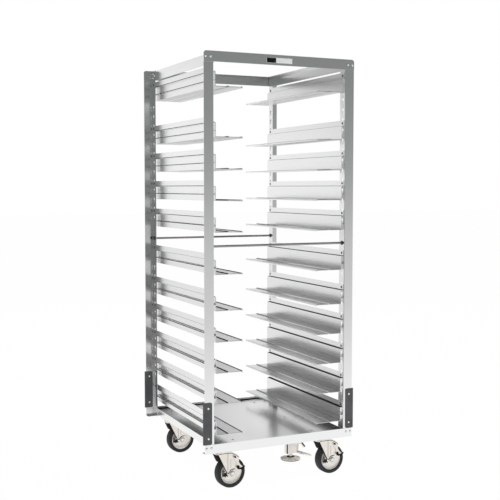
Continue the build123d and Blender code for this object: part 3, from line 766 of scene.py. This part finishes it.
    def make_axle(self) -> None:
        """Makes the axle bolt's chamfered head, nut and end, with a washer at each leg."""
        work = Work()
        for side, height in zip((-1.0, 1.0), self.bolt_heights):
            outward = self.axis * side
            place = facing(self.hub + outward * self.leg_plane, outward)
            work.prism(*self.washer, 28, place, 0.0003)
            work.prism(self.bolt_radius, height, 6, place, 0.0009)
        end = facing(self.hub + self.axis * (self.leg_plane + self.bolt_heights[0]), self.axis)
        work.prism(*self.bolt_end, 20, end, 0.0008)
        work.deliver(f"axle_{self.name}_bolt", f"caster_{self.name}", self.finishes["bright"], "fastener",
                     [f"axle_{self.name}"])

    def on_leg(self, side: float, proud: float) -> Matrix:
        """Gives the place whose X runs along the trail, Y up a leg's outer face and Z towards the near side.

        Args:
            side: -1 for the near leg, 1 for the far one.
            proud: how far outside the face it is.
        """
        outside = side * (self.leg_plane + proud)
        return self.local() @ Matrix.Translation((0, outside, 0)) @ Matrix.Rotation(math.pi / 2, 4, "X")

    def make_crease_shade(self) -> None:
        """Makes dark lines of painted shade where the legs are pressed and along their edges, each half sunk in the
        outside of both legs, and a ring of painted shade about the hub.
        """
        work = Work()
        for side in (-1.0, 1.0):
            outward = self.axis * side
            # painted shade: a dark ring about the hub and dark lines along the legs
            work.prism(self.hub_shade_ring, self.crease_depth, 28, facing(self.hub + outward * self.leg_plane, outward))
            for width, points in self.crease_shade_lines:
                place = self.on_leg(side, side * self.crease_depth / 2)
                work.plate(ribbon(points, width), self.crease_depth, place)
        work.deliver(f"fork_{self.name}_creases", f"caster_{self.name}", self.finishes["line_shade"], "zinc_plate")

    def make_nose_shadow(self) -> None:
        """Makes the painted shadow over the fork's rounded nose and its legs' leading edges: a thin dark sheet."""
        work = Work()
        reach, half = self.nose_radii
        top, foot = Vector(self.nose_top), Vector(self.edge_foot)
        lean = (foot.x - top.x) / (top.y - foot.y)
        outer = arc((0.0, 0.0), 1.0, 90.0, 270.0, 14)
        skin, depth = self.nose_skin
        outline = [(x * (reach + skin), y * (half + skin)) for x, y in outer]
        outline += [(x * (reach + depth), y * (half + depth)) for x, y in reversed(outer)]
        shear = Matrix(((1, 0, lean, 0), (0, 1, 0, 0), (0, 0, -1, 0), (0, 0, 0, 1)))
        place = self.local() @ Matrix.Translation((top.x, 0.0, top.y)) @ shear
        work.plate(outline, self.nose_drop, place)
        for side in (-1.0, 1.0):
            strip = [(x, side * (half + outside)) for x, outside in self.edge_strip]
            work.plate(strip, top.y - foot.y, place)
        work.deliver(f"fork_{self.name}_nose", f"caster_{self.name}", self.finishes["dark"], "zinc_plate")

    def make_hub_shade(self) -> None:
        """Makes painted shade beside the hub: a thin brown film and a darker one on each side of the disc."""
        for name, finish, patches in (("brown_shade", "brown_shade", self.brown_shade), ("dark_shade", "line_shade", self.dark_shade)):
            work = Work()
            for start, end, inner, outer in patches:
                for side in (-1.0, 1.0):
                    self.add_film(work, side, (start, end), (inner, outer))
            work.deliver(f"wheel_{self.name}_{name}", f"road_wheel_{self.name}", self.finishes[finish], "wheel_disc")

    def add_film(self, work: Work, side: float, angles: Pair, radii: Pair) -> None:
        """Adds a thin film that follows the disc's dish over part of a turn.

        Args:
            work: the mesh in the making.
            side: -1 for the near face, 1 for the far one.
            angles: where it starts and ends about the axle, in degrees.
            radii: its inner and outer radius.
        """
        count = 5
        reach = [radii[0] + (radii[1] - radii[0]) * step / count for step in range(count + 1)]
        outline = [(radius, self.dish_height(radius) + self.film[0]) for radius in reach]
        outline += [(radius, self.dish_height(radius) + self.film[1]) for radius in reversed(reach)]
        flip = Matrix.Diagonal((1.0, 1.0, -side, 1.0))
        place = (self.local() @ Matrix.Translation((self.trail, 0.0, self.hub.z))
                 @ Matrix.Rotation(math.pi / 2, 4, "X") @ Matrix.Rotation(math.radians(angles[0]), 4, "Z") @ flip)
        work.turned(outline, place, 8, math.radians(angles[1] - angles[0]))

    def dish_height(self, radius: float) -> float:
        """Gives how far the disc's dish is from its middle plane at a radius.

        Args:
            radius: the distance from the axle.

        Returns:
            The height of the dish there.
        """
        for (start, low), (end, high) in zip(self.dish, self.dish[1:]):
            if radius <= end:
                return low + (high - low) * max(0.0, radius - start) / (end - start)
        return self.dish[-1][1]

    def make_brake_foot(self) -> None:
        """Makes the brake's dark moulded foot, its round pad and the end of its cross pin."""
        work = Work()
        work.plate(self.foot_outline, self.foot_thickness, self.on_leg(-1.0, self.foot_proud), 0.0009)
        face = -(self.leg_plane + self.foot_proud)
        for (x, z), size, sides, chamfer in (
            (self.brake_pad, self.pad_size, 20, 0.0008),
            (self.brake_pivot, self.pin_size, 16, 0.0),
        ):
            work.prism(*size, sides, self.local() @ facing((x, face, z), (0, -1, 0)), chamfer)
        work.deliver(f"brake_foot_{self.name}", f"brake_{self.name}", self.finishes["dark"], "zinc_plate")


@dataclass
class FrameTrim:
    """Bare plate on the front top rail and dark strips along the deck's front and rear edges."""

    finishes: dict[str, Material]
    plate_span: Pair = (-0.0685, 0.0475)
    plate_height: float = 0.0208
    plate_drop: float = 0.0020
    field_width: float = 0.0425
    field_border: Pair = (0.0004, 0.0006)
    post_width: float = 0.043
    joint_inset: float = 0.0016
    joint_size: Pair = (0.0006, 0.0034)

    def build(self) -> None:
        """Makes the trim pieces."""
        self.make_plate()
        self.make_deck_edge()

    def make_plate(self) -> None:
        """Makes the bare plate with its dark field."""
        low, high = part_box("top_rail_front")
        middle = (low[2] + high[2]) / 2 - self.plate_drop
        face = low[1]
        bottom, top = middle - self.plate_height / 2, middle + self.plate_height / 2
        left, right = self.plate_span
        plate = Work()
        plate.cuboid((left, face - 0.0012, bottom), (right, face + 0.0002, top), 0.0005)
        plate.deliver("front_plate", "rack", self.finishes["plate"], "fastener")
        field = Work()
        beside, above = self.field_border
        field.cuboid((left + beside, face - 0.0014, bottom + above),
                     (left + self.field_width, face - 0.0004, top - above), 0.0001)
        field.deliver("front_plate_field", "rack", self.finishes["dark"], "fastener")

    def make_deck_edge(self) -> None:
        """Makes a dark strip in the joint between the deck and the rails in front and behind."""
        work = Work()
        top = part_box("deck")[1][2]
        for rail, inward in (("base_rail_front", 1.0), ("base_rail_rear", -1.0)):
            low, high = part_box(rail)
            face = (low[1] if inward > 0 else high[1]) + inward * self.joint_inset
            near, far = sorted((face, face + inward * self.joint_size[0]))
            joint_top = min(top + self.joint_size[1], high[2] - 0.0004)
            work.cuboid((low[0] + self.post_width, near, top), (high[0] - self.post_width, far, joint_top))
        work.deliver("deck_joints", "rack", self.finishes["dark"], "deck_sheet")


@dataclass(frozen=True)
class LeverBlock:
    """A soft-edged block that rides on the floor lock's pedal."""

    from_pivot: Triple
    lean: float
    low: Triple
    high: Triple
    round_by: float


@dataclass
class FloorLock:
    """Moulded parts of the pedal floor lock, with a black ring of painted shadow about the stem's foot, and painted
    shade on the housing's front left edge.
    """

    finishes: dict[str, Material]
    pivot_from_stem: float = 0.039
    pivot_height: float = 0.078
    toe: LeverBlock = LeverBlock(
        (0.0225, 0.0, -0.0175), 52.0, (-0.0140, -0.0085, -0.0012), (0.0140, 0.0085, 0.0056), 0.0020)
    rib: LeverBlock = LeverBlock(
        (-0.0090, 0.0, -0.0430), 19.3, (0.0020, -0.0016, -0.0004), (0.0330, 0.0006, 0.0008), 0.0003)
    stem_shade_ring: Outline = (
        (0.0092, 0.0146), (0.0140, 0.0146), (0.0175, 0.0130), (0.0188, 0.0112), (0.0150, 0.0112), (0.0092, 0.0124))
    body_size: Pair = (0.050, 0.026)
    body_heights: Pair = (0.0300, 0.1200)
    edge_shade_size: Pair = (0.0042, 0.0030)
    edge_shade_proud: float = 0.0004

    def build(self) -> None:
        """Makes the release toe's rubber, the pedal's rib line, a black ring of painted shadow about the stem's foot
        and painted shade on the housing's front left edge.
        """
        low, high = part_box("lock_stem")
        x, y = (low[0] + high[0]) / 2, (low[1] + high[1]) / 2
        pivot = Matrix.Translation((x + self.pivot_from_stem, y, self.pivot_height))
        for name, finish, block in (
            ("lock_release_rubber", "tyre", self.toe),
            ("lock_pedal_rib", "dark", self.rib),
        ):
            work = Work()
            place = pivot @ Matrix.Translation(block.from_pivot) @ Matrix.Rotation(math.radians(block.lean), 4, "Y")
            work.cuboid(block.low, block.high, block.round_by, place)
            work.deliver(name, "lock_foot_lever", self.finishes[finish], "zinc_plate")
        # painted shadow: a black ring about the stem's foot, on the pad
        stem_shade = Work()
        stem_shade.turned(self.stem_shade_ring, Matrix.Translation((x, y, 0.0)), 40)
        stem_shade.deliver("lock_stem_shade_ring", "lock_plunger", self.finishes["tyre"], "fastener")
        # painted shade: a dark strip on the housing's front left edge
        edge_shade = Work()
        left, front = x - self.body_size[0] / 2, y - self.body_size[1] / 2
        edge_shade.cuboid((left - self.edge_shade_proud, front - self.edge_shade_proud, self.body_heights[0]),
                    (left + self.edge_shade_size[0], front + self.edge_shade_size[1], self.body_heights[1]))
        edge_shade.deliver("lock_housing_edge_shade", "rack", self.finishes["dark"], "zinc_plate")


@dataclass
class Studio:
    """White floor, bright surroundings near the horizon, darker ones above, soft lamps and the camera."""

    camera_at: Triple = (-1.7618, -3.8367, 1.2467)
    camera_turn: Triple = (86.235, 0.0, -25.011)
    lens: float = 68.0
    front_horizon: float = 0.34
    front_sky: float = 0.22
    back_horizon: float = 1.0
    back_sky: float = 0.2
    right_horizon: float = 0.88
    right_beyond: float = 0.4
    overhead: float = 0.7
    front_tint: Triple = (0.955, 1.0, 0.985)
    floor_far: float = 0.66
    floor_left: float = 0.3
    floor_right_far: float = 0.6
    floor_behind: float = 0.85
    floor_white: float = 0.985

    def build(self) -> None:
        """Makes the surroundings, lamps, floor and camera."""
        self.make_world()
        self.make_floor()
        self.make_lamps()
        self.make_camera()
        bpy.context.scene.view_settings.view_transform = "Standard"

    def make_world(self) -> None:
        """Makes a world that is white to the camera, bright low behind the rack, dim in front and pale overhead."""
        world = bpy.data.worlds.new("studio")
        bpy.context.scene.world = world
        world.use_nodes = True
        nodes = Nodes(world.node_tree)
        x, y, z = nodes.axes("Generated")
        back = (self.back_horizon, self.back_sky)
        left = nodes.mix(nodes.eased(x, (-0.50, -0.42)), nodes.eased(z, (0.05, 0.13), back),
                         nodes.eased(z, (0.13, 0.21), back))
        right = nodes.times(nodes.eased(z, (0.30, 0.55), (self.right_horizon, self.back_sky)),
                            nodes.eased(x, (0.43, 0.465), (1.0, self.right_beyond)))
        behind = nodes.mix(nodes.eased(x, (0.28, 0.43)), left, right)
        front = nodes.eased(z, (0.0, 0.16), (self.front_horizon, self.front_sky))
        share = nodes.eased(y, (-0.45, 0.35))
        level = nodes.mix(nodes.eased(z, (0.70, 0.92)), nodes.mix(share, front, behind), self.overhead)
        seen = nodes.add("LightPath").outputs["Is Camera Ray"]
        tint = nodes.mix(nodes.calc("MAXIMUM", share, seen), (*self.front_tint, 1.0), (1.0, 1.0, 1.0, 1.0), "RGBA")
        nodes.feed(nodes.tree.nodes["Background"], {"Color": tint, "Strength": nodes.mix(seen, level, 1.0)})

    def make_floor(self) -> None:
        """Makes the floor: white to the camera with a faint shadow, paler or darker by place in reflections."""
        mesh = bpy.data.meshes.new("floor")
        maker = bmesh.new()
        bmesh.ops.create_grid(maker, x_segments=1, y_segments=1, size=40.0)
        maker.to_mesh(mesh)
        maker.free()
        floor = bpy.data.objects.new("floor", mesh)
        bpy.context.scene.collection.objects.link(floor)
        floor.location.z = -0.0006
        material, shader, nodes = new_material("pale_floor")
        nodes.feed(shader, {"Base Color": (0.9, 0.9, 0.9, 1.0), "Roughness": 0.9, "Specular IOR Level": 0.1})
        x, y, _ = nodes.axes()
        along = nodes.times(nodes.eased(y, (-6.0, -0.4), (self.floor_far, 1.0)),
                            nodes.eased(y, (0.2, 2.5), (1.0, self.floor_behind)))
        right = nodes.mix(nodes.eased(y, (5.0, 12.0)), 1.0, nodes.eased(x, (0.5, 3.0), (1.0, self.floor_right_far)))
        left = nodes.mix(nodes.eased(y, (-0.6, 0.2)), nodes.eased(x, (-0.75, -0.42), (self.floor_left, 1.0)), 1.0)
        level = nodes.times(nodes.times(along, right), left)
        gleam = nodes.add("Emission", {"Strength": level}).outputs[0]
        rays = nodes.add("LightPath").outputs
        plain = nodes.either(rays["Is Glossy Ray"], shader.outputs[0], gleam)
        share = nodes.times(rays["Is Camera Ray"], self.floor_white)
        surface = nodes.either(share, plain, nodes.add("Emission").outputs[0])
        nodes.feed(nodes.tree.nodes["Material Output"], {"Surface": surface})
        mesh.materials.append(material)

    def make_lamps(self) -> None:
        """Makes the soft lamps."""
        for name, place, target, size, watts in (
            ("key", (-3.2, -2.6, 4.6), (0.0, 0.0, 0.7), 3.0, 170.0),
            ("fill", (3.6, -1.6, 3.4), (0.0, 0.0, 0.7), 3.0, 90.0),
            ("back", (0.6, 4.0, 4.2), (0.0, 0.0, 0.9), 3.0, 90.0),
        ):
            lamp = bpy.data.lights.new(name, "AREA")
            lamp.shape = "SQUARE"
            lamp.size = size
            lamp.energy = watts
            holder = bpy.data.objects.new(name, lamp)
            bpy.context.scene.collection.objects.link(holder)
            holder.location = place
            holder.rotation_euler = (Vector(target) - Vector(place)).to_track_quat("-Z", "Y").to_euler()
            holder.visible_glossy = False

    def make_camera(self) -> None:
        """Makes the camera at the photograph's viewpoint."""
        data = bpy.data.cameras.new("camera")
        data.lens = self.lens
        data.sensor_width = 36.0
        camera = bpy.data.objects.new("camera", data)
        bpy.context.scene.collection.objects.link(camera)
        camera.location = self.camera_at
        camera.rotation_euler = tuple(math.radians(angle) for angle in self.camera_turn)
        bpy.context.scene.camera = camera


STEEL = (0.895, 0.905, 0.90)
# shaded copy of the steel: painted shade for the rear left upright and the rear top rail
SHADED_REAR_STEEL = (0.80, 0.81, 0.805)
FINISHES = {
    "upright": BrushedSteel("upright_steel", STEEL, 0.2, Grain.ALONG_Z, 0.01, 0.006),
    "shaded_rear_upright": BrushedSteel("shaded_rear_upright_steel", SHADED_REAR_STEEL, 0.2, Grain.ALONG_Z, 0.01, 0.006),
    "rail": BrushedSteel("rail_steel", STEEL, 0.2, Grain.ALONG_X, 0.01, 0.006),
    "shaded_rear_rail": BrushedSteel("shaded_rear_rail_steel", SHADED_REAR_STEEL, 0.2, Grain.ALONG_X, 0.01, 0.006),
    "side_rail": BrushedSteel("side_rail_steel", STEEL, 0.2, Grain.ALONG_Y, 0.01, 0.006),
    "slide": BrushedSteel("slide_steel", (0.90, 0.905, 0.905), 0.22, Grain.ALONG_Y, 0.01, 0.004),
    # painted shade for the darker bands on the ledge tops
    "band_shade": BrushedSteel("band_shade_steel", (0.55, 0.555, 0.56), 0.24, Grain.ALONG_Y, 0.01, 0.004),
    "inner_band_shade": BrushedSteel("inner_band_shade_steel", (0.74, 0.745, 0.75), 0.24, Grain.ALONG_Y, 0.01, 0.004),
    # the deck's colour carries painted shade along its sides
    "deck": BrushedSteel("deck_steel", (0.92, 0.925, 0.925), 0.2, Grain.ALONG_X, 0.01, 0.004, 1.0, (0.19, 0.285)),
    "bright": BrushedSteel("fastener_steel", (0.85, 0.85, 0.84), 0.22, Grain.NONE),
    "polished": BrushedSteel("polished_steel", (0.95, 0.95, 0.94), 0.12, Grain.NONE, 0.01, 0.01),
    # also the painted highlight along the right slides' ledge edges
    "rivet": BrushedSteel("rivet_steel", (0.95, 0.95, 0.94), 0.3, Grain.NONE, 0.03, 0.02, 0.2),
    "rod": BrushedSteel("rod_steel", (0.42, 0.42, 0.42), 0.25, Grain.NONE),
    "stud": BrushedSteel("stud_steel", (0.17, 0.17, 0.175), 0.35, Grain.NONE),
    "plate": BrushedSteel("plate_silver", (0.92, 0.92, 0.92), 0.35, Grain.ALONG_X, 0.02, 0.02, 0.3),
    "zinc": BrushedSteel("yellow_zinc", (0.93, 0.88, 0.82), 0.36, Grain.NONE, 0.05, 0.04, 0.85),
    # painted shade for the fork's pressed lines and edges and the darker patches on the wheel discs
    "line_shade": Moulded("painted_line_shade", (0.030, 0.027, 0.025), 0.7, 1200.0, 0.02, 0.2),
    # painted shade for the brown patches on the wheel discs
    "brown_shade": BrushedSteel("disc_brown_shade", (0.20, 0.15, 0.125), 0.45, Grain.NONE, 0.2, 0.04, 0.4),
    "disc": BrushedSteel("wheel_disc", (0.94, 0.90, 0.84), 0.3, Grain.NONE, 0.03, 0.02, 0.6),
    "bumper": Moulded("bumper_skin", (0.082, 0.085, 0.088), 0.5),
    "tyre": Moulded("tyre_skin", (0.020, 0.021, 0.023), 0.65),
    # also the painted shadow of the rivet rings, the fork noses, the lock stem's foot and the lock housing's front
    # left edge
    "dark": Moulded("dark_skin", (0.005, 0.005, 0.0055), 0.7, 1200.0, 0.05, 0.2),
    "shadow": Moulded("shadow_line", (0.03, 0.03, 0.03), 0.7, 1200.0, 0.02, 0.3),
}
PLAIN_DRESS = (
    # the rear left upright and rear top rail wear the shaded copy of the steel
    (("post_rear_left",), "shaded_rear_upright"),
    (("post_",), "upright"),
    (("tie_rods",), "rod"),
    (("top_rail_rear",), "shaded_rear_rail"),
    (("top_rail", "base_rail"), "rail"),
    (("top_side", "base_side"), "side_rail"),
    (("slide_pair",), "slide"),
    (("deck", "cross_channels"), "deck"),
    (("corner_bumpers",), "bumper"),
    (("tyre", "lock_pad"), "tyre"),
    (("wheel", "lock_stem"), "disc"),
    (("fork", "caster_plates", "brake", "lock_housing", "lock_pedal"), "zinc"),
)


def main() -> None:
    """Builds the looks and the studio."""
    logging.basicConfig(level=logging.INFO, format="%(message)s")
    finish = {key: value.build() for key, value in FINISHES.items()}
    for name in frame["nodes"]:
        key = next((key for starts, key in PLAIN_DRESS if name.startswith(starts)), "bright")
        dress(name, finish[key])
    SlideLines(finish["shadow"], finish["rivet"], (finish["band_shade"], finish["inner_band_shade"])).build()
    Fasteners(finish["polished"], finish["rivet"], finish["dark"], finish["stud"]).build()
    for corner in ("front_left", "front_right", "rear_left", "rear_right"):
        Caster(corner, finish).build()
    FrameTrim(finish).build()
    FloorLock(finish).build()
    Studio().build()


if __name__ == "__main__":
    main()
